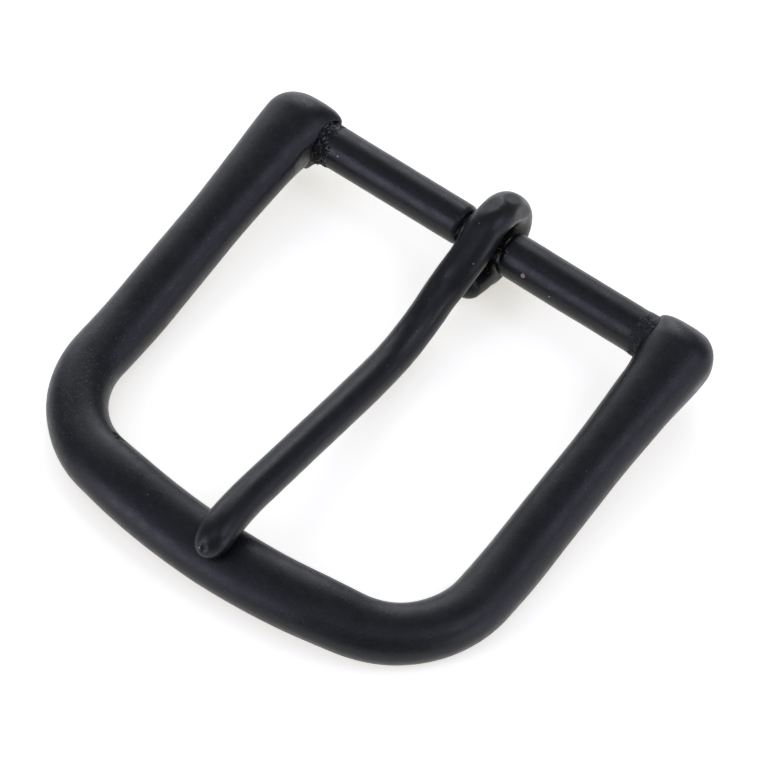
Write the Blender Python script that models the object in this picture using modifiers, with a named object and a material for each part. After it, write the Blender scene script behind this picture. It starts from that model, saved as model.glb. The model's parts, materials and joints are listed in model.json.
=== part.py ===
"""Belt buckle for a 38 mm strap: a cast frame, a heel bar let into its arms, and a bent tongue.

Lengths are in millimetres until a mesh is made. Every piece is drawn about the heel bar's axis:
+X runs along the bar, -Y from the bar to the front rail, and +Z out of the buckle's face. The empty
"rest" then lays the whole buckle face up on a table, where it stands on the tongue's eye and on the
front ends of the two arms.
"""

import math

import bmesh
import bpy
from mathutils import Vector

MM = 0.001
MERGE = 0.00005

# the strap and the opening made for it
STRAP_WIDTH = 38.0
STRAP_PLAY = 2.0
INSIDE_WIDTH = STRAP_WIDTH + STRAP_PLAY

# the frame's centre-line, seen from above
RAIL_SETBACK = 44.86
RAIL_BOW_RADIUS = 71.0
CORNER_RADIUS = 10.63
ARM_TOE_IN = math.radians(0.38)

# the frame's section at stations along half the centre-line, from the heel bar to mid rail:
# distance along, rise above the bar's axis, half width, half height
STATIONS = (
    (0.0, 0.90, 3.38, 2.55),
    (12.0, 0.90, 3.01, 2.65),
    (23.0, 0.90, 3.06, 2.70),
    (37.4, 2.90, 3.07, 2.42),
    (49.0, 4.34, 3.37, 2.50),
    (59.4, 4.34, 3.44, 2.45),
)
SECTION_POWER = 2.15
LAND_DEPTH = 2.30
SECTION_POINTS = 20

# the rounded rear end of each arm, which wraps the end of the bar
ARM_START = 3.0
REAR_END = 3.15
REAR_STEPS = (0.03, 0.16, 0.45, 0.90, 1.55, 2.40, 3.45, 4.70)
REAR_OUTER_RADIUS = 3.6
REAR_INNER_RADIUS = 1.1
REAR_TOP_RADIUS = 3.3
REAR_OUTER_CLOSED = -0.06
REAR_INNER_CLOSED = 0.10
REAR_MIDDLE = -0.8
LOW_TOP = 0.5
KNUCKLE_DEPTH = 2.1
KNUCKLE_LENGTH = 7.5
KNUCKLE_FLARE = 0.05
KNUCKLE_FLARE_LENGTH = 7.0
INNER_LIP = 0.57
INNER_LIP_LENGTH = 5.0
REAR_FORM_LENGTH = 10.0

# how far apart the frame's sections are drawn: along the arm, and how many round the corner and rail
ARM_STEPS = (0.0, 2.5, 5.5, 9.0, 13.0, 17.0, 21.0, 25.0)
CORNER_STEPS = 10
RAIL_STEPS = 6

# the heel bar and the sockets that hold it
BAR_RADIUS = 2.28
NECK_RADIUS = 1.75
NECK_HALF_LENGTH = 2.4
SHOULDER_LENGTH = 1.2
SHOULDER_DROP = 0.16
BAR_END = 23.2
BAR_CHAMFER = 0.4
SOCKET_DEPTH = 23.55
SOCKET_RADIUS = BAR_RADIUS + 0.27

# the filler metal round each root of the bar
BRAZE_LENGTH = 1.4
BRAZE_TO_ARM = 0.28
BRAZE_BORE = BAR_RADIUS + 0.25
BRAZE_THIN = 0.20
BRAZE_THICK = 0.36
BRAZE_MIDDLE = 0.24
BRAZE_MIDDLE_AT = 0.5

# the tongue: a round rod bent into an eye about the bar, with a rounded tip that is flat underneath
ROD_RADIUS = 1.84
EYE_CENTRE = (0.20, 0.05)
EYE_RADIUS = 3.78
EYE_ROD_DEPTH = 1.55
EYE_ROD_WIDTH = 1.97
EYE_SHIFT = 0.56
EYE_SHIFT_FROM = -9.0
EYE_SHIFT_LENGTH = 6.0
EYE_FROM = -134.0
EYE_TO = 118.0
EYE_STEP = 14.0
EYE_REACH = 9.0
EYE_EASE = 3.0
TAIL_END = (-5.8, -1.3)
TAIL_ROUNDING = 1.3
SHAFT = (
    (-4.95, 2.00),
    (-7.60, 0.62),
    (-10.9, -0.33),
    (-14.6, -0.64),
    (-18.4, -0.03),
    (-23.3, 1.48),
    (-33.0, 4.78),
    (-39.5, 7.05),
    (-43.6, 8.15),
)
SHAFT_STEPS = 3
TIP_END = (-47.05, 7.95)
TIP_LENGTH = 9.0
TIP_ROUNDING = 2.9
TIP_HALF_WIDTH = 1.98
TIP_TOP_DEPTH = 1.59
TIP_UNDER_DEPTH = 1.12
TIP_SHIFT = 0.41
END_STEPS = (0.03, 0.12, 0.28, 0.50, 0.77)
ROD_POINTS = 16

# how the buckle lies on a table
REST_TILT = math.radians(7.94)
BAR_TO_TABLE = 5.23
BAR_BEHIND_MIDDLE = 21.46


def clear_scene():
    for old in list(bpy.data.objects):
        bpy.data.objects.remove(old, do_unlink=True)


def make_collection(name):
    collection = bpy.data.collections.new(name)
    bpy.context.scene.collection.children.link(collection)
    return collection


def satin_black(name, colour, roughness, metallic):
    material = bpy.data.materials.new(name)
    material.use_nodes = True
    shader = material.node_tree.nodes["Principled BSDF"]
    shader.inputs["Base Color"].default_value = (*colour, 1.0)
    shader.inputs["Roughness"].default_value = roughness
    shader.inputs["Metallic"].default_value = metallic
    return material


def smooth_step(t):
    t = min(max(t, 0.0), 1.0)
    return t * t * (3.0 - 2.0 * t)


def quarter_round(distance, radius):
    """How far a side has opened at a distance from a rounded end: 0 at the end, 1 past the radius."""
    if distance >= radius:
        return 1.0
    return math.sqrt(1.0 - (1.0 - distance / radius) ** 2)


def opened_from(closed, share):
    """A share that runs from its closed value at 0 to 1 at 1."""
    return closed + (1.0 - closed) * share


def blended(table, column, at):
    """One column of a table by monotone cubic interpolation on its first column."""
    at = min(max(at, table[0][0]), table[-1][0])
    row = max(i for i in range(len(table) - 1) if table[i][0] <= at)
    rises = []
    for low, high in zip(table, table[1:]):
        rises.append((high[column] - low[column]) / (high[0] - low[0]))

    def slope(i):
        if i in (0, len(table) - 1) or rises[i - 1] * rises[i] <= 0.0:
            return 0.0
        return 2.0 * rises[i - 1] * rises[i] / (rises[i - 1] + rises[i])

    low, high = table[row], table[row + 1]
    step = high[0] - low[0]
    t = (at - low[0]) / step
    return (
        low[column] * (1.0 + 2.0 * t) * (1.0 - t) ** 2
        + high[column] * t * t * (3.0 - 2.0 * t)
        + step * slope(row) * t * (1.0 - t) ** 2
        - step * slope(row + 1) * t * t * (1.0 - t)
    )


def catmull_rom(points, steps):
    """A smooth run of points through the given ones."""
    ends = [2 * points[0] - points[1], *points, 2 * points[-1] - points[-2]]
    run = []
    for a, b, c, d in zip(ends, ends[1:], ends[2:], ends[3:]):
        for k in range(steps):
            t = k / steps
            run.append(
                0.5 * (2 * b + (c - a) * t + (2 * a - 5 * b + 4 * c - d) * t**2
                       + (3 * b - a - 3 * c + d) * t**3)
            )
    run.append(points[-1])
    return run


def loft(name, sections, cap_start, cap_end):
    """A mesh object skinned over rings of points, in millimetres, with the same count in each."""
    work = bmesh.new()
    rings = [[work.verts.new(point * MM) for point in ring] for ring in sections]
    for ring, following in zip(rings, rings[1:]):
        for i in range(len(ring)):
            j = (i + 1) % len(ring)
            work.faces.new((ring[i], ring[j], following[j], following[i]))
    if cap_start:
        work.faces.new(reversed(rings[0]))
    if cap_end:
        work.faces.new(rings[-1])
    bmesh.ops.recalc_face_normals(work, faces=work.faces)
    return mesh_object(name, work)


def mesh_object(name, work):
    mesh = bpy.data.meshes.new(name)
    work.to_mesh(mesh)
    work.free()
    mesh.shade_smooth()
    return bpy.data.objects.new(name, mesh)


def frame_plan():
    """Half the frame's centre-line: (distance along, point, outward direction) for each station."""
    arm_x = INSIDE_WIDTH / 2 + STATIONS[0][2]
    down = Vector((-math.sin(ARM_TOE_IN), -math.cos(ARM_TOE_IN)))
    outward = Vector((-down.y, down.x))
    bow_centre = Vector((0.0, RAIL_BOW_RADIUS - RAIL_SETBACK))

    # the corner's centre lies CORNER_RADIUS inside both the arm's line and the rail's arc
    start = Vector((arm_x, 0.0)) - CORNER_RADIUS * outward
    gap = start - bow_centre
    along = gap.dot(down)
    reach = along**2 - gap.length_squared + (RAIL_BOW_RADIUS - CORNER_RADIUS) ** 2
    corner = start + (math.sqrt(reach) - along) * down
    arm_length = (corner - start).length - ARM_START

    plan = []
    origin = Vector((arm_x, 0.0)) + ARM_START * down
    rear_steps = [-ARM_START - REAR_END + step for step in REAR_STEPS]
    for distance in (*rear_steps, *ARM_STEPS, arm_length):
        plan.append((distance, origin + distance * down, outward))

    first = math.atan2(outward.y, outward.x)
    to_rail = (corner - bow_centre).normalized()
    last = math.atan2(to_rail.y, to_rail.x)
    for k in range(1, CORNER_STEPS + 1):
        angle = first + (last - first) * k / CORNER_STEPS
        direction = Vector((math.cos(angle), math.sin(angle)))
        distance = arm_length + CORNER_RADIUS * (first - angle)
        plan.append((distance, corner + CORNER_RADIUS * direction, direction))

    turned = arm_length + CORNER_RADIUS * (first - last)
    for k in range(1, RAIL_STEPS + 1):
        angle = last + (-math.pi / 2 - last) * k / RAIL_STEPS
        direction = Vector((math.cos(angle), math.sin(angle)))
        distance = turned + RAIL_BOW_RADIUS * (last - angle)
        plan.append((distance, bow_centre + RAIL_BOW_RADIUS * direction, direction))
    return plan


def frame_section(distance):
    """The frame's section as (across, up) pairs from the centre-line, flat underneath."""
    half_width = blended(STATIONS, 2, distance)
    half_height = blended(STATIONS, 3, distance)
    outer, inner, top, bottom, land = half_width, half_width, half_height, half_height, LAND_DEPTH
    if distance < REAR_FORM_LENGTH:
        from_end = distance + ARM_START + REAR_END
        from_bar = distance + ARM_START
        knuckle = KNUCKLE_DEPTH * smooth_step(1.0 - from_bar / KNUCKLE_LENGTH)
        outer *= 1.0 + KNUCKLE_FLARE * smooth_step(1.0 - from_bar / KNUCKLE_FLARE_LENGTH)
        inner += INNER_LIP * smooth_step(1.0 - from_bar / INNER_LIP_LENGTH)
        outer *= opened_from(REAR_OUTER_CLOSED, quarter_round(from_end, REAR_OUTER_RADIUS))
        inner *= opened_from(REAR_INNER_CLOSED, quarter_round(from_end, REAR_INNER_RADIUS))
        opened = quarter_round(from_end, REAR_TOP_RADIUS)
        top = REAR_MIDDLE + (top - REAR_MIDDLE) * opened
        bottom = -REAR_MIDDLE + (bottom + knuckle + REAR_MIDDLE) * opened
        land += knuckle
    middle = (outer - inner) / 2
    reach = (outer + inner) / 2
    centre = min(0.0, (top - bottom) / 2) if top < LOW_TOP else 0.0
    power = 2.0 / SECTION_POWER
    pairs = []
    for k in range(SECTION_POINTS):
        angle = 2.0 * math.pi * k / SECTION_POINTS
        c, s = math.cos(angle), math.sin(angle)
        across = middle + reach * math.copysign(abs(c) ** power, c)
        height = (top - centre) if s >= 0.0 else (bottom + centre)
        up = centre + height * math.copysign(abs(s) ** power, s)
        pairs.append((across, max(up, -land)))
    return pairs


def build_frame():
    """One casting: two arms, two front corners and a bowed, raised rail, drawn as a mirrored half."""
    rings = []
    for distance, point, outward in frame_plan():
        rise = blended(STATIONS, 1, distance)
        ring = []
        for across, up in frame_section(distance):
            flat = point + across * outward
            ring.append(Vector((flat.x, flat.y, rise + up)))
        rings.append(ring)
    for point in rings[-1]:
        point.x = 0.0
    frame = loft("frame", rings, cap_start=True, cap_end=False)
    mirror = frame.modifiers.new("other half", "MIRROR")
    mirror.use_axis = (True, False, False)
    mirror.merge_threshold = MERGE
    return frame


def turned(name, profile, steps=32):
    """A ring or rod turned about X from (radius, along) pairs that run down the outer side."""
    mesh = bpy.data.meshes.new(name)
    points = [(radius * MM, 0.0, along * MM) for radius, along in profile]
    edges = [(i, i + 1) for i in range(len(points) - 1)]
    if profile[0][0] > 0.0:
        edges.append((len(points) - 1, 0))
    mesh.from_pydata(points, edges, [])
    thing = bpy.data.objects.new(name, mesh)
    thing.rotation_euler.y = math.pi / 2
    screw = thing.modifiers.new("turn", "SCREW")
    screw.axis = "Z"
    screw.steps = steps
    screw.render_steps = steps
    screw.use_merge_vertices = True
    screw.merge_threshold = MERGE
    return thing


def build_socket_cutter():
    """A plain rod that leaves a blind socket in each arm; the gap between the arms is already open."""
    return turned(
        "socket_cutter",
        ((0.0, SOCKET_DEPTH), (SOCKET_RADIUS, SOCKET_DEPTH),
         (SOCKET_RADIUS, -SOCKET_DEPTH), (0.0, -SOCKET_DEPTH)),
    )


def build_heel_bar():
    """A round bar, necked in the middle so that the tongue's eye stays central."""
    half = (
        (0.0, BAR_END),
        (BAR_RADIUS - BAR_CHAMFER, BAR_END),
        (BAR_RADIUS, BAR_END - BAR_CHAMFER),
        (BAR_RADIUS, NECK_HALF_LENGTH + SHOULDER_LENGTH),
        (BAR_RADIUS - SHOULDER_DROP, NECK_HALF_LENGTH + SHOULDER_LENGTH / 2),
        (NECK_RADIUS, NECK_HALF_LENGTH),
    )
    return turned("heel_bar", half + tuple((radius, -along) for radius, along in reversed(half)))


def build_braze(name, side):
    """The collar of filler metal at one root of the bar, thicker towards the arm."""
    arm_face = INSIDE_WIDTH / 2 - INNER_LIP - BRAZE_TO_ARM
    thin_end = arm_face - BRAZE_LENGTH
    profile = (
        (BRAZE_BORE + BRAZE_THICK, arm_face),
        (BRAZE_BORE + BRAZE_MIDDLE, arm_face - BRAZE_MIDDLE_AT),
        (BRAZE_BORE + BRAZE_THIN, thin_end),
        (BRAZE_BORE, thin_end),
        (BRAZE_BORE, arm_face),
    )
    braze = turned(name, profile)
    if side < 0:
        braze.rotation_euler.y = -math.pi / 2
    return braze


def tongue_line():
    """The rod's centre-line in the buckle's middle plane, from its tail to its tip, as (y, z)."""
    points = [Vector(TAIL_END)]
    turns = round((EYE_TO - EYE_FROM) / EYE_STEP)
    for k in range(turns + 1):
        angle = math.radians(EYE_FROM + (EYE_TO - EYE_FROM) * k / turns)
        points.append(Vector(EYE_CENTRE) + EYE_RADIUS * Vector((math.cos(angle), math.sin(angle))))
    eye_end = len(points)
    points += [Vector(pair) for pair in (*SHAFT, TIP_END)]
    tail_and_eye = catmull_rom(points[:eye_end + 1], 1)
    shaft = catmull_rom(points[eye_end - 1:], SHAFT_STEPS)
    return tail_and_eye[:-1] + shaft[1:]


def rod_stations(line):
    """(point, heading, how full the rod is) along the line, closer together where its ends round off."""
    lengths = [0.0]
    for a, b in zip(line, line[1:]):
        lengths.append(lengths[-1] + (b - a).length)
    whole = lengths[-1]

    def at(length):
        row = min(max(i for i in range(len(lengths)) if lengths[i] <= length), len(line) - 2)
        share = (length - lengths[row]) / (lengths[row + 1] - lengths[row])
        return line[row].lerp(line[row + 1], share)

    chosen = [TAIL_ROUNDING * step for step in END_STEPS]
    chosen += [length for length in lengths if TAIL_ROUNDING < length < whole - TIP_ROUNDING]
    chosen += [whole - TIP_ROUNDING * step for step in reversed(END_STEPS)]
    points = [at(length) for length in chosen]
    stations = []
    for i, length in enumerate(chosen):
        heading = (points[min(i + 1, len(points) - 1)] - points[max(i - 1, 0)]).normalized()
        fullness = quarter_round(length, TAIL_ROUNDING) * quarter_round(whole - length, TIP_ROUNDING)
        stations.append((points[i], heading, fullness))
    return stations


def build_tongue():
    """A round rod, pressed flatter and wider in the eye and at the tip, its eye off to one side."""
    rings = []
    for point, heading, fullness in rod_stations(tongue_line()):
        in_eye = smooth_step((EYE_REACH - point.length) / EYE_EASE)
        at_tip = smooth_step((point.length - Vector(TIP_END).length + TIP_LENGTH) / TIP_LENGTH)
        width = ROD_RADIUS + (EYE_ROD_WIDTH - ROD_RADIUS) * in_eye + (TIP_HALF_WIDTH - ROD_RADIUS) * at_tip
        depth = ROD_RADIUS + (EYE_ROD_DEPTH - ROD_RADIUS) * in_eye + (TIP_TOP_DEPTH - ROD_RADIUS) * at_tip
        under = ROD_RADIUS + (TIP_UNDER_DEPTH - ROD_RADIUS) * at_tip
        sideways = TIP_SHIFT * at_tip
        sideways += EYE_SHIFT * smooth_step((point.x - EYE_SHIFT_FROM) / EYE_SHIFT_LENGTH)
        up = Vector((heading.y, -heading.x))
        ring = []
        for k in range(ROD_POINTS):
            angle = 2.0 * math.pi * k / ROD_POINTS
            off = max(depth * fullness * math.sin(angle), -under) * up
            across = sideways + width * fullness * math.cos(angle)
            ring.append(Vector((across, point.x + off.x, point.y + off.y)))
        rings.append(ring)
    return loft("tongue", rings, cap_start=True, cap_end=True)


def add_cut(target, cutter):
    boolean = target.modifiers.new(cutter.name, "BOOLEAN")
    boolean.operation = "DIFFERENCE"
    boolean.solver = "EXACT"
    boolean.object = cutter


def main():
    clear_scene()
    buckle = make_collection("belt_buckle")
    cutters = make_collection("cutters")

    rest = bpy.data.objects.new("rest", None)
    rest.location = (0.0, BAR_BEHIND_MIDDLE * MM, BAR_TO_TABLE * MM)
    rest.rotation_euler.x = REST_TILT
    buckle.objects.link(rest)

    frame = build_frame()
    socket_cutter = build_socket_cutter()
    add_cut(frame, socket_cutter)
    cutters.objects.link(socket_cutter)
    socket_cutter.hide_render = True
    socket_cutter.display_type = "WIRE"
    socket_cutter.parent = rest

    coating = satin_black("satin black coating", (0.020, 0.021, 0.025), 0.48, 0.0)
    bar_coating = satin_black("bar coating", (0.022, 0.023, 0.027), 0.44, 0.0)
    braze_coating = satin_black("coated braze", (0.014, 0.014, 0.016), 0.62, 0.0)
    pieces = (
        (frame, coating),
        (build_heel_bar(), bar_coating),
        (build_braze("bar_braze_left", -1), braze_coating),
        (build_braze("bar_braze_right", 1), braze_coating),
        (build_tongue(), coating),
    )
    for piece, material in pieces:
        buckle.objects.link(piece)
        piece.parent = rest
        piece.data.materials.append(material)


main()
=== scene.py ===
"""Looks of the belt buckle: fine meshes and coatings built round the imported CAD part.

Meshes are drawn in millimetres about the heel bar's axis, as the CAD is: +X along the bar, -Y from
the bar to the front rail, +Z out of the face. lay() then puts them where the buckle rests.
"""

import json
import math

import bpy
import numpy as np
from mathutils import Matrix, Vector, noise


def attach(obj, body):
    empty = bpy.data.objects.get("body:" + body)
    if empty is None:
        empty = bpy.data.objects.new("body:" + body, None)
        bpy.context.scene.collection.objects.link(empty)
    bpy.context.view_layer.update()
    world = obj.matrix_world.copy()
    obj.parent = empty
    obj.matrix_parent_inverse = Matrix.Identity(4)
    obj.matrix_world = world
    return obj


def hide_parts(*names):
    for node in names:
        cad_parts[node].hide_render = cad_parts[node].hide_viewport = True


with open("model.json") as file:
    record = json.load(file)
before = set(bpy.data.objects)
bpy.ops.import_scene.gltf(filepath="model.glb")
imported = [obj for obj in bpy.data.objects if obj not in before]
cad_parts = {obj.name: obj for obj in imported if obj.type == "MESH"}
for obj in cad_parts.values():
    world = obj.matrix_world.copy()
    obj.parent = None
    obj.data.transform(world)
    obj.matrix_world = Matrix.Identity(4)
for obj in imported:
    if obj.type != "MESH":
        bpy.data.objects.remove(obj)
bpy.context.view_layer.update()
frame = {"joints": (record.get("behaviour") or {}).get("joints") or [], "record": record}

MM = 0.001
TURN = 2.0 * math.pi

# where the drawing lies at rest: the bar's axis, and how far the buckle leans back
hinge = frame["joints"][0]
back_face = frame["record"]["mounts"][0]["axis"]
BAR_Y, BAR_Z = hinge["pos_m"][1] / MM, hinge["pos_m"][2] / MM
TILT = math.atan2(back_face[1], -back_face[2])


def lay(points):
    """Drawn millimetres to metres in the row frame, at rest."""
    points = np.asarray(points, float)
    c, s = math.cos(TILT), math.sin(TILT)
    out = np.empty_like(points)
    out[..., 0] = points[..., 0]
    out[..., 1] = points[..., 1] * c - points[..., 2] * s + BAR_Y
    out[..., 2] = points[..., 1] * s + points[..., 2] * c + BAR_Z
    return out * MM


# ---------------------------------------------------------------- shaping

def smooth(t):
    """0 below 0, 1 above 1, a smooth step between."""
    t = np.clip(t, 0.0, 1.0)
    return t * t * (3.0 - 2.0 * t)


def quarter_round(distance, radius):
    """How far a rounded end has opened, from 0 at its tip to 1 a radius away."""
    t = np.clip(np.asarray(distance, float) / radius, 0.0, 1.0)
    return np.sqrt(1.0 - (1.0 - t) ** 2)


def soft_floor(values, depth, edge):
    """Keeps values above -depth, easing them into that floor over the given edge."""
    eased = -depth + edge * np.exp((values + depth - edge) / edge)
    return np.where(values < -depth + edge, eased, values)


def bumps(points, size, seed=0.0):
    """Smooth noise from about -1 to 1, with lumps about the given size in millimetres."""
    scaled = (np.asarray(points, float) / size + seed).reshape(-1, 3)
    return np.array([noise.noise(p) for p in scaled.tolist()]).reshape(np.shape(points)[:-1])


def uneven(points, layers):
    """Bumps laid over each other. Each layer is a height, a size and a seed."""
    return sum(height * bumps(points, size, seed) for height, size, seed in layers)


def grains(points, size, seed=0.0):
    """Round grains about the given size: 1 at a grain's middle, near 0 between grains."""
    scaled = (np.asarray(points, float) / size + seed).reshape(-1, 3)
    nearest = [noise.voronoi(p)[0][0] for p in scaled.tolist()]
    return 1.0 - np.clip(np.array(nearest).reshape(np.shape(points)[:-1]), 0.0, 1.0)


def distance_to(spot, points):
    return np.linalg.norm(points - np.array(spot), axis=1)


def mesh_from_rings(name, rings, closed=False):
    """A mesh object over rings of drawn points; open runs are closed by a point at each end."""
    count, around = rings.shape[:2]
    index = np.arange(count * around).reshape(count, around)
    low, high = (index, np.roll(index, -1, 0)) if closed else (index[:-1], index[1:])
    quads = np.stack((low, np.roll(low, -1, 1), np.roll(high, -1, 1), high), -1).reshape(-1, 4)
    points = rings.reshape(-1, 3)
    faces = quads.tolist()
    if not closed:
        ends = np.array((rings[0].mean(0), rings[-1].mean(0)))
        first, last = len(points), len(points) + 1
        points = np.vstack((points, ends))
        for i in range(around):
            j = (i + 1) % around
            faces.append((int(index[0][j]), int(index[0][i]), first))
            faces.append((int(index[-1][i]), int(index[-1][j]), last))
    mesh = bpy.data.meshes.new(name)
    mesh.from_pydata(points.tolist(), [], faces)
    mesh.update()
    thing = bpy.data.objects.new(name, mesh)
    bpy.context.scene.collection.objects.link(thing)
    face_out(thing)
    return thing


def face_out(thing):
    """Turns the faces outward if the mesh is inside out."""
    mesh = thing.data
    points = points_of(thing)
    mesh.calc_loop_triangles()
    corners = np.empty(len(mesh.loop_triangles) * 3, np.int32)
    mesh.loop_triangles.foreach_get("vertices", corners)
    a, b, c = points[corners.reshape(-1, 3)].transpose(1, 0, 2)
    if np.einsum("ij,ij->i", a, np.cross(b, c)).sum() < 0.0:
        mesh.flip_normals()
        mesh.update()


def points_of(thing):
    points = np.empty(len(thing.data.vertices) * 3)
    thing.data.vertices.foreach_get("co", points)
    return points.reshape(-1, 3)


def normals_of(thing):
    normals = np.empty(len(thing.data.vertices) * 3)
    thing.data.vertices.foreach_get("normal", normals)
    return normals.reshape(-1, 3)


def set_points(thing, points):
    thing.data.vertices.foreach_set("co", np.ascontiguousarray(points, float).ravel())
    thing.data.update()


# ---------------------------------------------------------------- frame

# the centre line seen from above: two arms, two corners and a bowed rail, as in the CAD
ARM_X = 23.38
ARM_TOE_IN = math.radians(0.38)
RAIL_SETBACK = 44.86
RAIL_BOW_RADIUS = 71.0
CORNER_RADIUS = 10.63
ARM_START = 3.0
REAR_END = 3.15

# distance along it, then the centre's height, half the width and half the height there
STATIONS = np.array((
    (0.0, 0.90, 3.38, 2.55),
    (12.0, 0.90, 3.01, 2.65),
    (23.0, 0.90, 3.06, 2.70),
    (37.4, 2.90, 3.07, 2.42),
    (49.0, 4.34, 3.37, 2.50),
    (59.4, 4.34, 3.44, 2.45),
))
HEIGHT, HALF_WIDTH, HALF_HEIGHT = 1, 2, 3
SECTION_POWER = 2.15
LAND_DEPTH, LAND_EDGE = 2.30, 0.10

# the knuckle round the bar: how much it adds, and how far from the bar that has run out
KNUCKLE_LENGTH = 10.0
UNDERSIDE_DROP, UNDERSIDE_RUN = 2.1, 7.5
OUTER_SWELL, OUTER_RUN = 0.05, 7.0
INNER_BOSS, INNER_RUN = 0.57, 5.0
# its rear end: the share of the width at the tip, and the rounding up to full width
OUTER_TIP, OUTER_ROUNDING = -0.06, 3.6
INNER_TIP, INNER_ROUNDING = 0.10, 1.1
TIP_LEVEL, LEVEL_ROUNDING = 0.8, 3.3
LOW_TOP = 0.5

# the spacing of the mesh's rings
REAR_RINGS = np.array((0.004, 0.012, 0.03, 0.06, 0.10, 0.15, 0.21, 0.28, 0.36, 0.45))
KNUCKLE_RINGS = np.arange(0.56, 9.2, 0.13)
RING_STEP, FINE_STEP = 0.30, 0.10
FINE_AT, FINE_REACH = (16.2, -43.0), 1.7
FRAME_AROUND = 120

FRAME_SWELL = ((0.036, 6.5, 0.0), (0.008, 2.3, 7.0), (0.003, 0.75, 3.0))
SWELL_INSET = 0.02

KNOCK = (-14.75, -40.52, 5.30)
KNOCK_RUN = np.array((0.87, -0.39, 0.30))
KNOCK_HALF_LENGTH, KNOCK_HALF_WIDTH = 0.75, 0.55
KNOCK_DEPTH, KNOCK_ROUGHNESS = 0.13, 0.30

HOLLOW_Y, HOLLOW_Z = -2.5, 1.2
HOLLOW_REACH, HOLLOW_UP, HOLLOW_DOWN = 2.8, 1.35, 3.4
HOLLOW_DEPTH, HOLLOW_ROUGHNESS = 0.26, 0.03
HOLLOW_LIMIT = 22.0

LIP_RADIUS, LIP_FLOOR, LIP_LIMIT = 2.44, -20.85, -22.5
SOCKET_RADIUS, SOCKET_END = 2.42, 23.4
SOCKET_FROM, SOCKET_TO = 15.0, 23.0
FACING_BAR = -0.25


def blended(column, at):
    """Monotone cubic interpolation of a column of STATIONS."""
    x, v = STATIONS[:, 0], STATIONS[:, column]
    at = min(max(at, x[0]), x[-1])
    rises = np.diff(v) / np.diff(x)
    slopes = np.zeros(len(x))
    for i in range(1, len(x) - 1):
        if rises[i - 1] * rises[i] > 0.0:
            slopes[i] = 2.0 * rises[i - 1] * rises[i] / (rises[i - 1] + rises[i])
    i = min(max(int(np.searchsorted(x, at, side="right")) - 1, 0), len(x) - 2)
    step = x[i + 1] - x[i]
    t = (at - x[i]) / step
    return (v[i] * (1 + 2 * t) * (1 - t) ** 2 + v[i + 1] * t * t * (3 - 2 * t)
            + step * slopes[i] * t * (1 - t) ** 2 - step * slopes[i + 1] * t * t * (1 - t))


def frame_plan(distances):
    """Centre-line points and outward directions of the frame's right half, and its length."""
    down = np.array((-math.sin(ARM_TOE_IN), -math.cos(ARM_TOE_IN)))
    outward = np.array((-down[1], down[0]))
    bow = np.array((0.0, RAIL_BOW_RADIUS - RAIL_SETBACK))
    start = np.array((ARM_X, 0.0)) - CORNER_RADIUS * outward
    gap = start - bow
    along = gap @ down
    reach = along**2 - gap @ gap + (RAIL_BOW_RADIUS - CORNER_RADIUS) ** 2
    corner = start + (math.sqrt(reach) - along) * down
    arm = np.linalg.norm(corner - start) - ARM_START
    origin = np.array((ARM_X, 0.0)) + ARM_START * down
    first = math.atan2(outward[1], outward[0])
    to_rail = corner - bow
    last = math.atan2(to_rail[1], to_rail[0])
    turned = arm + CORNER_RADIUS * (first - last)
    points, headings = [], []
    for distance in distances:
        if distance <= arm:
            points.append(origin + distance * down)
            headings.append(outward)
            continue
        if distance <= turned:
            centre, radius, angle = corner, CORNER_RADIUS, first - (distance - arm) / CORNER_RADIUS
        else:
            centre, radius = bow, RAIL_BOW_RADIUS
            angle = last - (distance - turned) / RAIL_BOW_RADIUS
        direction = np.array((math.cos(angle), math.sin(angle)))
        points.append(centre + radius * direction)
        headings.append(direction)
    end = turned + RAIL_BOW_RADIUS * (last + math.pi / 2)
    return np.array(points), np.array(headings), end


def frame_section(distance):
    """The section at a distance along the centre line, as offsets outward and upward."""
    outer = inner = blended(HALF_WIDTH, distance)
    top = bottom = blended(HALF_HEIGHT, distance)
    land = LAND_DEPTH
    if distance < KNUCKLE_LENGTH:
        from_bar = distance + ARM_START
        from_end = distance + ARM_START + REAR_END
        drop = UNDERSIDE_DROP * smooth(1.0 - from_bar / UNDERSIDE_RUN)
        outer *= 1.0 + OUTER_SWELL * smooth(1.0 - from_bar / OUTER_RUN)
        inner += INNER_BOSS * smooth(1.0 - from_bar / INNER_RUN)
        outer *= OUTER_TIP + (1.0 - OUTER_TIP) * quarter_round(from_end, OUTER_ROUNDING)
        inner *= INNER_TIP + (1.0 - INNER_TIP) * quarter_round(from_end, INNER_ROUNDING)
        opened = quarter_round(from_end, LEVEL_ROUNDING)
        top = -TIP_LEVEL + (top + TIP_LEVEL) * opened
        bottom = TIP_LEVEL + (bottom + drop - TIP_LEVEL) * opened
        land += drop
    middle, reach = (outer - inner) / 2, (outer + inner) / 2
    # where the end's top has sunk low, the section is centred between top and bottom
    centre = min(0.0, (top - bottom) / 2) if top < LOW_TOP else 0.0
    power = 2.0 / SECTION_POWER
    angle = TURN * np.arange(FRAME_AROUND) / FRAME_AROUND
    c, s = np.cos(angle), np.sin(angle)
    across = middle + reach * np.sign(c) * np.abs(c) ** power
    tall = np.where(s >= 0.0, top - centre, bottom + centre)
    up = centre + tall * np.sign(s) * np.abs(s) ** power
    return across, soft_floor(up, land, LAND_EDGE)


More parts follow.
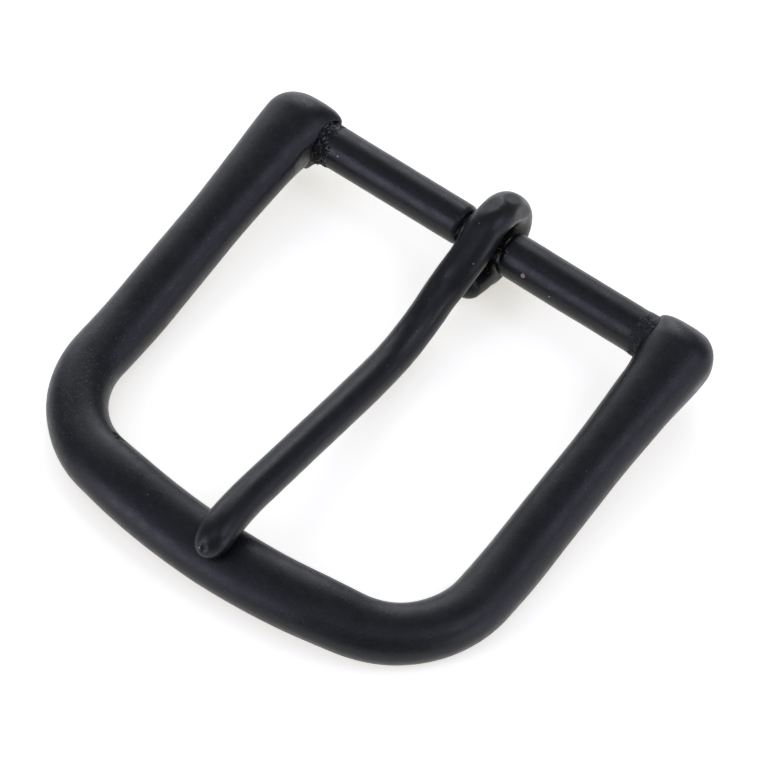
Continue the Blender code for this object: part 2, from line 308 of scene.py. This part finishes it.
def frame_rings():
    """Sections along the right half, mirrored to the left, closest at the ends and the knock."""
    distances = np.concatenate((REAR_RINGS, KNUCKLE_RINGS)) - ARM_START - REAR_END
    end = frame_plan(())[2]
    rest = np.linspace(distances[-1], end, int((end - distances[-1]) / RING_STEP))[1:]
    run = frame_plan(rest)[0]
    fine = rest[np.hypot(run[:, 0] - FINE_AT[0], run[:, 1] - FINE_AT[1]) < FINE_REACH]
    finer = np.arange(fine[0], fine[-1], FINE_STEP)[1:]
    rest = np.unique(np.concatenate((rest[rest <= fine[0]], finer, rest[rest >= fine[-1]])))
    distances = np.concatenate((distances, rest))
    plan, outward, _ = frame_plan(distances)
    rings = []
    for distance, point, out in zip(distances, plan, outward):
        across, up = frame_section(distance)
        flat = point + across[:, None] * out
        rings.append(np.column_stack((flat, blended(HEIGHT, distance) + up)))
    right = np.array(rings)
    right[-1, :, 0] = 0.0
    left = right[-2::-1] * np.array((-1.0, 1.0, 1.0))
    return np.concatenate((right, left))


def knock_depth(points):
    """A ragged knock on the inner edge by the left front corner."""
    away = points - np.array(KNOCK)
    along = away @ KNOCK_RUN
    across = np.linalg.norm(away - along[:, None] * KNOCK_RUN, axis=1)
    ragged_width = KNOCK_HALF_WIDTH + 0.15 * bumps(points, 0.3, 4.0)
    inside = smooth((KNOCK_HALF_LENGTH - np.abs(along)) / 0.3)
    inside = inside * smooth((ragged_width - across) / 0.25)
    ragged = np.clip(bumps(points, 0.36, 5.0) + 0.15, -0.3, 1.0)
    return inside * (KNOCK_DEPTH + KNOCK_ROUGHNESS * ragged)


def build_frame():
    thing = mesh_from_rings("frame_casting", frame_rings())
    points, normals = points_of(thing), normals_of(thing)
    points = points + normals * (uneven(points, FRAME_SWELL) - SWELL_INSET)[:, None]
    points -= normals * knock_depth(points)[:, None]

    x, y, z = points.T
    reach = np.hypot(y, z)
    inward = -np.sign(x) * normals[:, 0] > FACING_BAR

    # the left arm's inner face is hollowed beside the bar
    away_z = (z - HOLLOW_Z) / np.where(z > HOLLOW_Z, HOLLOW_UP, HOLLOW_DOWN)
    away = np.hypot((y - HOLLOW_Y) / HOLLOW_REACH, away_z)
    hollow = HOLLOW_DEPTH * smooth((1.0 - away) / 0.8)
    hollow += HOLLOW_ROUGHNESS * bumps(points, 0.9, 8.0) * (away < 1.0)
    hollowed = (x < 0) & inward & (np.abs(x) < HOLLOW_LIMIT)
    x = np.where(hollowed, x - hollow * np.clip(normals[:, 0], 0.0, 1.0), x)

    # and falls away under a crisp lip round the bar
    lip = LIP_RADIUS + 0.04 * bumps(points, 1.1, 11.0)
    floor = LIP_FLOOR + 0.12 * bumps(points, 0.8, 2.0)
    weight = smooth((lip - reach) / 0.14) * (x < 0) * inward * (x > LIP_LIMIT)
    x = np.where((weight > 0) & (x > floor), x + weight * (floor - x), x)

    # a blind socket for the bar in each arm
    weight = smooth((SOCKET_RADIUS - reach) / 0.12) * inward * (np.abs(x) < SOCKET_TO)
    sunk = (weight > 0) & (np.abs(x) > SOCKET_FROM)
    x = np.where(sunk, x + weight * (np.sign(x) * SOCKET_END - x), x)
    points[:, 0] = x
    set_points(thing, points)
    return thing


# ---------------------------------------------------------------- heel bar

LEFT_BAR_RADIUS, RIGHT_BAR_RADIUS = 2.21, 2.33
BAR_END, BAR_ROUNDING = 23.2, 0.5
BAR_AROUND = 112
BAR_END_RINGS = np.array((22.6, 22.9, 23.1, 23.19, BAR_END))
BAR_RINGS = np.concatenate((
    -BAR_END_RINGS[::-1], np.arange(-22.3, -3.4, 0.25), np.arange(-3.35, 3.35, 0.07),
    np.arange(3.45, 22.4, 0.25), BAR_END_RINGS,
))
BAR_SWELL = ((0.018, 5.0, 4.0), (0.010, 1.7, 9.0), (0.004, 0.6, 1.0))

NECK_RADIUS = 1.75
NECK_HALF_LENGTH = 2.4
SHOULDER_ROUNDING = 0.80

CHIP, CHIP_RADIUS = (5.78, -1.92, 1.30), 0.28
CHIP_DEPTH, CHIP_EDGE = 0.05, 0.10
RIM_HEIGHT, RIM_WIDTH = 0.012, 0.06


def build_bar():
    """A round bar with a turned neck in the middle and a chip through its coating."""
    angle = TURN * np.arange(BAR_AROUND) / BAR_AROUND
    rings = []
    for x in BAR_RINGS:
        full = LEFT_BAR_RADIUS + (RIGHT_BAR_RADIUS - LEFT_BAR_RADIUS) * smooth((x + 3.0) / 6.0)
        shoulder = quarter_round(max(abs(x) - NECK_HALF_LENGTH, 0.0), SHOULDER_ROUNDING)
        radius = NECK_RADIUS + (full - NECK_RADIUS) * shoulder
        radius *= quarter_round(BAR_END - abs(x) + 0.002, BAR_ROUNDING)
        rings.append(np.column_stack((
            np.full(len(angle), x), radius * np.cos(angle), radius * np.sin(angle))))
    thing = mesh_from_rings("heel_bar_rod", np.array(rings))
    points, normals = points_of(thing), normals_of(thing)
    swell = uneven(points, BAR_SWELL)
    away = distance_to(CHIP, points)
    swell -= CHIP_DEPTH * smooth((CHIP_RADIUS - away) / CHIP_EDGE)
    swell += RIM_HEIGHT * np.exp(-((away - CHIP_RADIUS - RIM_WIDTH) / RIM_WIDTH) ** 2)
    set_points(thing, points + normals * swell[:, None])
    return thing


# ---------------------------------------------------------------- braze

LEFT, RIGHT = -1, 1
BRAZE_AROUND, BRAZE_ACROSS = 240, 48
BRAZE_INSET = 0.05
LEFT_START, LEFT_CRUST_END, LEFT_ROOT, LEFT_END = 18.75, 19.85, 19.55, 20.5
RIGHT_START, RIGHT_END = 18.35, 20.1
BRAZE_UNEVENNESS = ((0.07, 0.45, 6.0), (0.05, 0.15, 8.0))


def left_filler(degrees, jitter, below):
    """Places along the bar and heights over it, at one angle round the left root."""
    front = smooth((degrees - 60.0) / 90.0) * smooth((330.0 - degrees) / 60.0)
    start = LEFT_START - 0.45 * front + 0.28 * jitter
    along = start + (LEFT_END - start) * np.linspace(0.0, 1.0, BRAZE_ACROSS)
    crust = (0.02 + 0.055 * front) * smooth((along - start) / 0.4)
    crust = crust * smooth((LEFT_CRUST_END + 0.1 * jitter - along) / 0.2)
    root = LEFT_ROOT - 0.55 * below
    rise = np.clip((along - root) / (LEFT_END - root), 0.0, 1.0)
    return along, 0.012 + crust + (0.55 + 0.75 * below) * rise**2.2


def right_filler(jitter, below):
    """The same round the right root, thinner and flush with the arm."""
    t = np.linspace(0.0, 1.0, BRAZE_ACROSS)
    start = RIGHT_START + 0.30 * jitter
    along = start + (RIGHT_END - start) * t
    return along, 0.010 + 0.05 * smooth((along - start) / 0.5) + (0.10 + 0.25 * below) * t**4


def build_braze(name, side):
    """Filler metal round a root of the bar: a ragged sleeve that runs up into the arm."""
    bar = LEFT_BAR_RADIUS if side == LEFT else RIGHT_BAR_RADIUS
    inner = bar - BRAZE_INSET
    rings = []
    for k in range(BRAZE_AROUND):
        angle = TURN * k / BRAZE_AROUND
        c, s = math.cos(angle), math.sin(angle)
        degrees = math.degrees(angle)
        jitter = noise.noise((3.0 * c, 3.0 * s, side * 2.0))
        jitter += 0.5 * noise.noise((9.0 * c, 9.0 * s, 4.0 + side))
        below = math.exp(-(((degrees - 215.0) / 42.0) ** 2))
        if side == LEFT:
            along, height = left_filler(degrees, jitter, below)
        else:
            along, height = right_filler(jitter, below)
        top = np.column_stack((side * along, (bar + height) * c, (bar + height) * s))
        back = along[::-8]
        even = np.ones(len(back))
        under = np.column_stack((side * back, inner * c * even, inner * s * even))
        rings.append(np.vstack((top, under)))
    thing = mesh_from_rings(name, np.array(rings), closed=True)

    points, normals = points_of(thing), normals_of(thing)
    reach = np.hypot(points[:, 1], points[:, 2])
    turn = np.degrees(np.arctan2(points[:, 2], points[:, 1])) % 360.0
    rough = 0.15 * (grains(points, 0.24, 3.0) - 0.62) + uneven(points, BRAZE_UNEVENNESS)
    if side == LEFT:
        open_side = 0.30 + 0.70 * smooth((turn - 20.0) / 40.0) * smooth((300.0 - turn) / 40.0)
        on_bar = smooth((19.90 + points[:, 0]) / 0.20)
        amount = (1.35 * on_bar + 0.22) * open_side
    else:
        amount = 0.10 + 0.90 * smooth((turn - 55.0) / 25.0) * smooth((235.0 - turn) / 40.0)
    outside = smooth((reach - bar - 0.005) / 0.04)
    points += normals * (outside * amount * rough)[:, None]
    set_points(thing, points)
    return thing


# ---------------------------------------------------------------- tongue

# the rod's centre line in y and z: an open eye round the bar, the shaft and the tip
EYE_CENTRE = np.array((0.20, 0.05))
EYE_RADIUS = 3.78
EYE_DEGREES = np.linspace(-134.0, 118.0, 19)
SHAFT = (
    (-4.95, 2.00), (-7.60, 0.62), (-10.9, -0.33), (-14.6, -0.64), (-18.4, -0.03),
    (-23.3, 1.48), (-33.0, 4.78), (-39.5, 7.05), (-43.6, 8.15),
)
TAIL_END, TIP_END = (-5.8, -1.3), (-47.05, 7.95)
TAIL_ROUNDING, TIP_ROUNDING = 1.3, 2.9

# half the rod's width and depth, and how far aside it sits
ROD_RADIUS = 1.84
EYE_HALF_WIDTH, TIP_HALF_WIDTH = 1.97, 1.98
EYE_HALF_DEPTH, TIP_HALF_DEPTH = 1.55, 1.59
TIP_UNDERSIDE, UNDERSIDE_EDGE = 1.12, 0.12
EYE_ASIDE, TIP_ASIDE = 0.56, 0.41

CURVE_STEPS = 12
ROD_AROUND = 84
ROD_STEP = 0.22
ROUND_RINGS = np.array((
    0.002, 0.008, 0.02, 0.04, 0.07, 0.11, 0.16, 0.22, 0.29, 0.37, 0.46, 0.56, 0.67, 0.79, 0.92))

TONGUE_SWELL = ((0.028, 5.0, 14.0), (0.009, 1.8, 17.0), (0.003, 0.6, 12.0))

# hammer flats: a point on the surface, the way the flat faces, and how deep it cuts
FLATS = (
    ((0.35, 1.45, 5.22), (-0.26, 0.20, 0.94), 0.13),
    ((0.90, 3.25, 4.32), (0.12, 0.62, 0.77), 0.12),
    ((2.42, 2.80, 3.10), (0.88, 0.32, 0.34), 0.08),
    ((0.20, -1.9, 4.95), (-0.15, -0.36, 0.92), 0.05),
    ((0.30, -46.72, 8.72), (0.02, -0.73, 0.68), 0.05),
)
FLAT_REACH, FLAT_EDGE = 3.0, 0.02

# a pimple and a shallow pit on the nose: place, size and rise
NOSE_MARKS = (((0.16, -46.68, 8.74), 0.17, 0.15), ((0.60, -46.60, 8.84), 0.26, -0.12))


def catmull_rom(points, steps):
    """A smooth run through the points, with the given steps between each two."""
    points = np.asarray(points, float)
    ends = np.vstack((2 * points[0] - points[1], points, 2 * points[-1] - points[-2]))
    run = []
    for a, b, c, d in zip(ends, ends[1:], ends[2:], ends[3:]):
        for t in np.arange(steps) / steps:
            run.append(0.5 * (2 * b + (c - a) * t + (2 * a - 5 * b + 4 * c - d) * t**2
                              + (3 * b - a - 3 * c + d) * t**3))
    run.append(points[-1])
    return np.array(run)


def tongue_rings():
    line = [TAIL_END]
    for angle in np.radians(EYE_DEGREES):
        line.append(EYE_CENTRE + EYE_RADIUS * np.array((math.cos(angle), math.sin(angle))))
    line = catmull_rom(line + list(SHAFT) + [TIP_END], CURVE_STEPS)
    lengths = np.concatenate(([0.0], np.cumsum(np.linalg.norm(np.diff(line, axis=0), axis=1))))
    whole = lengths[-1]
    middle = np.arange(TAIL_ROUNDING, whole - TIP_ROUNDING - 0.1, ROD_STEP)
    nose = np.linspace(TIP_ROUNDING, 0.35, 24)
    at = np.concatenate((
        ROUND_RINGS * TAIL_ROUNDING, middle, whole - nose, whole - ROUND_RINGS[7::-1] * 0.9))
    y, z = np.interp(at, lengths, line[:, 0]), np.interp(at, lengths, line[:, 1])
    heading = np.gradient(np.column_stack((y, z)), axis=0)
    heading /= np.linalg.norm(heading, axis=1)[:, None]
    full = quarter_round(at, TAIL_ROUNDING) * quarter_round(whole - at, TIP_ROUNDING)
    out = np.hypot(y, z)
    in_eye = smooth((9.0 - out) / 3.0)
    at_tip = smooth((out - math.hypot(*TIP_END) + 9.0) / 9.0)

    def along_rod(eye, tip):
        return ROD_RADIUS + (eye - ROD_RADIUS) * in_eye + (tip - ROD_RADIUS) * at_tip

    width = along_rod(EYE_HALF_WIDTH, TIP_HALF_WIDTH)
    depth = along_rod(EYE_HALF_DEPTH, TIP_HALF_DEPTH)
    under = along_rod(ROD_RADIUS, TIP_UNDERSIDE)
    side = TIP_ASIDE * at_tip + EYE_ASIDE * smooth((y + 9.0) / 6.0)
    angle = TURN * np.arange(ROD_AROUND) / ROD_AROUND
    rings = np.empty((len(at), ROD_AROUND, 3))
    for i in range(len(at)):
        off = soft_floor(depth[i] * full[i] * np.sin(angle), under[i], UNDERSIDE_EDGE)
        rings[i, :, 0] = side[i] + width[i] * full[i] * np.cos(angle)
        rings[i, :, 1] = y[i] + off * heading[i, 1]
        rings[i, :, 2] = z[i] - off * heading[i, 0]
    return rings


def build_tongue():
    thing = mesh_from_rings("tongue_rod", tongue_rings())
    points, normals = points_of(thing), normals_of(thing)
    points = points + normals * (uneven(points, TONGUE_SWELL) - SWELL_INSET)[:, None]
    for spot, facing, depth in FLATS:
        facing = np.array(facing) / np.linalg.norm(facing)
        proud = np.maximum((points - np.array(spot)) @ facing + depth, 0.0)
        proud *= distance_to(spot, points) < FLAT_REACH
        cut = proud - FLAT_EDGE * (1 - np.exp(-proud / FLAT_EDGE))
        points -= facing * cut[:, None]

    # the ragged inside of the eye
    reach = np.hypot(points[:, 1], points[:, 2])
    inside = smooth((2.75 - reach) / 0.4)
    ragged = 0.05 * bumps(points, 0.5, 21.0) + 0.06 * (grains(points, 0.4) - 0.6)
    points += normals * (inside * ragged)[:, None]
    for spot, size, rise in NOSE_MARKS:
        mark = rise * np.exp(-((distance_to(spot, points) / size) ** 2))
        points += normals * mark[:, None]
    set_points(thing, points)
    return thing


# ---------------------------------------------------------------- materials

CHARCOAL, SOOT = (0.0030, 0.0033, 0.0038), (0.0050, 0.0053, 0.0064)
DEEP_BLACK = (0.003, 0.003, 0.0035)
# SPARKLE is the colour of the painted glints
DUST_SPECK, SPARKLE = (0.20, 0.21, 0.23), (0.050, 0.054, 0.060)
RUST, GOLD = (0.16, 0.08, 0.03), (0.30, 0.21, 0.09)
PALE, PALE_ON_SHAFT = (0.28, 0.30, 0.33), (0.25, 0.27, 0.30)
SCRATCHED, BARE_METAL = (0.24, 0.18, 0.09), (0.27, 0.175, 0.14)

COATING_GLOSS = 0.30
SPECK_AMOUNT = 0.5
GRAIN_HEIGHT = 0.05

# drawn points and radii in millimetres; the left front corner, where the painted glints grow into a
# painted grazing highlight, has a full and a fading radius
GLINT_CORNER, GLINT_FULL, GLINT_END, GLINT_AMOUNT = (-24.0, -36.3, 4.4), 3.0, 13.0, 0.60
GRIT_BY_EYE = (2.30, -0.9, 1.6)
PALE_SPECKS = (
    ((9.15, -2.17, 0.84), 0.105), ((7.50, -2.27, 0.50), 0.055), ((7.95, -2.20, 0.76), 0.045),
    ((8.50, -2.09, 1.00), 0.045), ((8.85, -1.68, 1.60), 0.055), ((9.35, -1.46, 1.79), 0.045),
    ((6.59, -1.39, 1.86), 0.050), ((-17.28, -1.50, 1.65), 0.105),
)
SCRATCH = tuple(
    ((5.05 + 0.15 * i, -2.29 + 0.004 * i * i, 0.22 - 0.12 * i), 0.075 + 0.035 * (i % 2))
    for i in range(8))
# pale specks on the shaft; the last one, on the nose, is a painted glint
SHAFT_SPECKS_AND_NOSE_GLINT = (
    ((0.10, -1.24, 5.12), 0.065), ((1.74, -4.57, 3.48), 0.085), ((0.10, -46.76, 8.83), 0.10))


class Nodes:
    """Short ways to add and join a material's nodes."""

    def __init__(self, name):
        self.material = bpy.data.materials.new(name)
        self.material.use_nodes = True
        self.tree = self.material.node_tree
        self.shader = self.tree.nodes["Principled BSDF"]

    def add(self, kind, **settings):
        node = self.tree.nodes.new(kind)
        for key, value in settings.items():
            setattr(node, key, value)
        return node

    def join(self, out, to):
        self.tree.links.new(out, to)

    def feed(self, sockets, values):
        """Gives each socket its value, or a link if the value is another node's output."""
        for socket, value in zip(sockets, values):
            if isinstance(value, (int, float, tuple)):
                socket.default_value = value
            else:
                self.join(value, socket)

    def math(self, operation, *values):
        node = self.add("ShaderNodeMath", operation=operation)
        self.feed(node.inputs, values)
        return node.outputs[0]

    def vector(self, operation, *values):
        node = self.add("ShaderNodeVectorMath", operation=operation)
        self.feed(node.inputs, values)
        return node.outputs["Value" if operation in ("LENGTH", "DISTANCE") else "Vector"]

    def ramp(self, factor, low, high, to_low=0.0, to_high=1.0):
        node = self.add("ShaderNodeMapRange", interpolation_type="SMOOTHSTEP")
        names = ("Value", "From Min", "From Max", "To Min", "To Max")
        self.feed([node.inputs[name] for name in names], (factor, low, high, to_low, to_high))
        return node.outputs["Result"]

    def mix(self, factor, a, b):
        node = self.add("ShaderNodeMix", data_type="RGBA")
        colours = [(*value, 1.0) if isinstance(value, tuple) else value for value in (a, b)]
        self.feed((node.inputs["Factor"], node.inputs[6], node.inputs[7]), (factor, *colours))
        return node.outputs[2]

    def noise(self, vector, scale, detail=3.0, roughness=0.5, out="Fac"):
        node = self.add("ShaderNodeTexNoise")
        sockets = [node.inputs[name] for name in ("Vector", "Scale", "Detail", "Roughness")]
        self.feed(sockets, (vector, scale, detail, roughness))
        return node.outputs[out]

    def cells(self, vector, scale):
        """The distance to the nearest scattered point, and that point's random numbers."""
        node = self.add("ShaderNodeTexVoronoi")
        self.feed((node.inputs["Vector"], node.inputs["Scale"]), (vector, scale))
        numbers = self.add("ShaderNodeSeparateColor")
        self.join(node.outputs["Color"], numbers.inputs[0])
        return node.outputs["Distance"], numbers.outputs

    def near(self, where, drawn_spot, low, high):
        """1 within low of a drawn spot, 0 beyond high."""
        spot = tuple(lay(drawn_spot) / MM)
        return self.ramp(self.vector("DISTANCE", where, spot), low, high, 1.0, 0.0)


def coating(name, dark, light, roughness, grain, sparkles):
    """Satin black coating: fine sandy grain, cloudy tone, pale dust specks, and painted glints that
    grow stronger by the left front corner.

    Gives its nodes, the place on the object in millimetres, and the tone so far.
    """
    n = Nodes(name)
    scale = n.add("ShaderNodeMapping")
    scale.inputs["Scale"].default_value = (1 / MM,) * 3
    n.join(n.add("ShaderNodeTexCoord").outputs["Object"], scale.inputs["Vector"])
    where = scale.outputs["Vector"]

    cloud = n.noise(where, 0.35, 4.0)
    tone = n.mix(n.ramp(cloud, 0.35, 0.65), dark, light)
    distance, chance = n.cells(where, 1.25)
    dot = n.ramp(distance, 0.05, 0.085, 1.0, 0.0)
    speck = n.math("MULTIPLY", n.math("MULTIPLY", dot, n.ramp(chance[0], 0.86, 0.88)), SPECK_AMOUNT)
    tone = n.mix(speck, tone, DUST_SPECK)
    # painted glints: lighter speckles in the colour, made stronger near the left front corner as a
    # painted grazing highlight
    sparkle = n.ramp(n.noise(where, 5.0, 2.0, 0.7), 0.57, 0.70)
    corner_glint = n.near(where, GLINT_CORNER, GLINT_FULL, GLINT_END)
    sparkle = n.math("MULTIPLY", sparkle, n.math("MULTIPLY_ADD", corner_glint, GLINT_AMOUNT, sparkles))
    tone = n.mix(sparkle, tone, SPARKLE)
    n.join(tone, n.shader.inputs["Base Color"])

    patch = n.ramp(n.noise(where, 0.9, 2.0), 0.3, 0.7, roughness - 0.05, roughness + 0.05)
    n.join(n.math("ADD", patch, n.math("MULTIPLY", speck, 0.2)), n.shader.inputs["Roughness"])
    fine = n.noise(where, 6.0, 4.0, 0.7)
    bump = n.add("ShaderNodeBump")
    bump.inputs["Strength"].default_value = grain
    bump.inputs["Distance"].default_value = GRAIN_HEIGHT * MM
    n.join(n.math("ADD", fine, n.math("MULTIPLY", speck, 0.8)), bump.inputs["Height"])
    n.join(bump.outputs["Normal"], n.shader.inputs["Normal"])
    n.shader.inputs["Specular IOR Level"].default_value = COATING_GLOSS
    return n, where, tone


def spots(n, where, tone, marks, colour, edge):
    """Lays small marks, each a drawn point and a radius, over a tone."""
    for point, radius in marks:
        tone = n.mix(n.near(where, point, radius - edge, radius), tone, colour)
    return tone


def dust(n, where, tone, amount):
    """Rusty and golden grit over a tone."""
    distance, chance = n.cells(where, 4.2)
    bit = n.math("MULTIPLY", n.ramp(distance, 0.22, 0.36, 1.0, 0.0), n.ramp(chance[0], 0.55, 0.60))
    return n.mix(n.math("MULTIPLY", amount, bit), tone, n.mix(chance[1], RUST, GOLD))


def eye_inside(n, where):
    """1 close to the heel bar's surface, 0 farther out."""
    from_axis = n.vector("SUBTRACT", where, (0.0, BAR_Y, BAR_Z))
    reach = n.vector("LENGTH", n.vector("MULTIPLY", from_axis, (0.0, 1.0, 1.0)))
    return n.ramp(reach, 2.75, 3.15, 1.0, 0.0)


def bar_coating():
    """The bar's coating, with grit beside the eye, pale specks, a scratch and a chip."""
    n, where, tone = coating("bar coating", CHARCOAL, SOOT, 0.31, 0.35, 0.14)
    shift = n.noise(where, 3.5, 2.0, 0.5, "Color")
    ragged = n.vector("ADD", n.vector("MULTIPLY_ADD", shift, (0.16,) * 3, where), (-0.08,) * 3)
    tone = dust(n, where, tone, n.near(where, GRIT_BY_EYE, 0.8, 1.4))
    tone = spots(n, ragged, tone, PALE_SPECKS, PALE, 0.04)
    tone = spots(n, ragged, tone, SCRATCH, SCRATCHED, 0.06)
    tone = spots(n, ragged, tone, ((CHIP, CHIP_RADIUS),), BARE_METAL, 0.06)
    n.join(tone, n.shader.inputs["Base Color"])
    return n.material


def braze_coating(name, pale, gloss):
    """Near-black filler metal with paler streaks round the bar in its colour, painted highlights on
    the crust's ridges.
    """
    n, where, tone = coating(name, DEEP_BLACK, CHARCOAL, 0.42, 0.9, 0.30)
    # paler streaks that run round the bar: painted highlights on the crust's ridges
    drawn_out = n.vector("MULTIPLY", where, (2.4, 1.0, 1.0))
    painted_ridge_highlight = n.ramp(n.noise(drawn_out, 1.9, 3.0, 0.65), 0.54, 0.62)
    n.join(n.mix(painted_ridge_highlight, tone, pale), n.shader.inputs["Base Color"])
    n.shader.inputs["Specular IOR Level"].default_value = gloss
    return n.material


def tongue_coating():
    """The tongue's coating, with rusty dust caught in the rough inside of the eye, pale specks on
    the shaft and a painted glint on the nose.
    """
    n, where, tone = coating("tongue coating", CHARCOAL, SOOT, 0.32, 0.40, 0.10)
    tone = dust(n, where, tone, eye_inside(n, where))
    # pale specks on the shaft, and a painted glint on the nose
    tone = spots(n, where, tone, SHAFT_SPECKS_AND_NOSE_GLINT, PALE_ON_SHAFT, 0.04)
    n.join(tone, n.shader.inputs["Base Color"])
    return n.material


# ---------------------------------------------------------------- pieces

def finish(thing, material, body, slot, *nodes):
    """Lays a drawn mesh in place, gives it its material and ties it to the CAD."""
    set_points(thing, lay(points_of(thing)))
    thing.data.shade_smooth()
    thing.data.materials.append(material)
    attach(thing, body)
    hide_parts(*nodes)


frame_casting = build_frame()
bar_rod = build_bar()
braze_left = build_braze("braze_sleeve_left", LEFT)
braze_right = build_braze("braze_sleeve_right", RIGHT)
tongue_rod = build_tongue()

frame_black = coating("frame coating", CHARCOAL, SOOT, 0.32, 0.55, 0.26)[0].material
bar_black = bar_coating()
# the first colour given is that of the painted highlights on the crust's ridges
braze_rough = braze_coating("braze coating left", (0.090, 0.092, 0.100), 0.13)
braze_plain = braze_coating("braze coating right", (0.016, 0.016, 0.020), 0.26)
tongue_black = tongue_coating()

finish(frame_casting, frame_black, "frame_body", "frame_coating", "frame")
finish(bar_rod, bar_black, "frame_body", "bar_coating", "heel_bar")
finish(braze_left, braze_rough, "frame_body", "braze", "bar_braze_left")
finish(braze_right, braze_plain, "frame_body", "braze", "bar_braze_right")
finish(tongue_rod, tongue_black, "tongue_body", "tongue_coating", "tongue")


# ---------------------------------------------------------------- studio

# fitted to the outlines in the photo: angles in degrees, lengths in millimetres
CAMERA_AZIMUTH, CAMERA_ELEVATION, CAMERA_ROLL = 32.5917, 55.7989, 4.1958
CAMERA_TARGET, CAMERA_DISTANCE, CAMERA_NUDGE = (1.11, 2.007, 3.836), 475.06, 0.049
LENS, SENSOR_WIDTH = 229.474, 36.0

FLOOR_REACH = 3.0
FLOOR_WHITE, FLOOR_ROUGHNESS, FLOOR_GLOSS = (0.92, 0.92, 0.92, 1.0), 0.8, 0.1
FLOOR_GLOW = (0.56, 0.53, 0.46, 1.0)
SKY, SKY_STRENGTH = (0.78, 0.865, 1.0, 1.0), 0.42

# soft boxes: direction (azimuth from the front, elevation) and red, green and blue power
BOX_SIZE, BOX_DISTANCE, BOX_WATTS = 0.55, 1.2, 1.10
SOFT_BOXES = (
    (0, 72, 0.60, 0.61, 0.76),
    (90, 14, 1.66, 1.63, 1.94),
    (108, 52, 1.70, 1.72, 2.19),
    (120, 14, 0.78, 0.84, 1.14),
    (210, 14, 1.60, 1.66, 1.80),
    (210, 33, 1.60, 1.64, 1.74),
    (240, 14, 1.36, 1.39, 1.55),
    (240, 33, 0.72, 0.79, 0.80),
    (330, 14, 1.96, 1.94, 2.41),
    (330, 33, 1.84, 1.86, 2.48),
)


def towards(azimuth, elevation):
    """The direction at an azimuth from the front and an elevation, in degrees."""
    a, e = math.radians(azimuth), math.radians(elevation)
    return Vector((math.sin(a) * math.cos(e), -math.cos(a) * math.cos(e), math.sin(e)))


def build_camera():
    azimuth, roll = math.radians(CAMERA_AZIMUTH), math.radians(CAMERA_ROLL)
    back = towards(CAMERA_AZIMUTH, CAMERA_ELEVATION)
    level = Vector((math.cos(azimuth), math.sin(azimuth), 0.0))
    upright = back.cross(level)
    right = level * math.cos(roll) + upright * math.sin(roll)
    up = upright * math.cos(roll) - level * math.sin(roll)
    target = Vector(CAMERA_TARGET) * MM
    position = target + back * CAMERA_DISTANCE * MM + (up - right) * CAMERA_NUDGE * MM
    data = bpy.data.cameras.new("camera")
    data.lens = LENS
    data.sensor_width = SENSOR_WIDTH
    camera = bpy.data.objects.new("camera", data)
    bpy.context.scene.collection.objects.link(camera)
    camera.matrix_world = Matrix((
        (right.x, up.x, back.x, position.x),
        (right.y, up.y, back.y, position.y),
        (right.z, up.z, back.z, position.z),
        (0.0, 0.0, 0.0, 1.0),
    ))
    bpy.context.scene.camera = camera


def build_floor():
    r = FLOOR_REACH
    mesh = bpy.data.meshes.new("floor")
    mesh.from_pydata([(-r, -r, 0), (r, -r, 0), (r, r, 0), (-r, r, 0)], [], [(0, 1, 2, 3)])
    floor = bpy.data.objects.new("floor", mesh)
    bpy.context.scene.collection.objects.link(floor)
    n = Nodes("pale floor")
    n.shader.inputs["Base Color"].default_value = FLOOR_WHITE
    n.shader.inputs["Roughness"].default_value = FLOOR_ROUGHNESS
    n.shader.inputs["Specular IOR Level"].default_value = FLOOR_GLOSS
    n.shader.inputs["Emission Color"].default_value = FLOOR_GLOW
    n.shader.inputs["Emission Strength"].default_value = 1.0
    floor.data.materials.append(n.material)


def build_soft_box(azimuth, elevation, power):
    strongest = max(power)
    data = bpy.data.lights.new("soft_box", "AREA")
    data.shape = "DISK"
    data.size = BOX_SIZE
    data.energy = BOX_WATTS * strongest
    data.color = [p / strongest for p in power]
    light = bpy.data.objects.new("soft_box", data)
    place = towards(azimuth, elevation) * BOX_DISTANCE
    light.location = place
    light.rotation_euler = place.to_track_quat("Z", "Y").to_euler()
    bpy.context.scene.collection.objects.link(light)


def build_studio():
    build_camera()
    build_floor()
    world = bpy.data.worlds.new("studio")
    bpy.context.scene.world = world
    world.use_nodes = True
    background = world.node_tree.nodes["Background"]
    background.inputs["Color"].default_value = SKY
    background.inputs["Strength"].default_value = SKY_STRENGTH
    for azimuth, elevation, *power in SOFT_BOXES:
        build_soft_box(azimuth, elevation, power)


bpy.context.scene.view_settings.view_transform = "Standard"
build_studio()
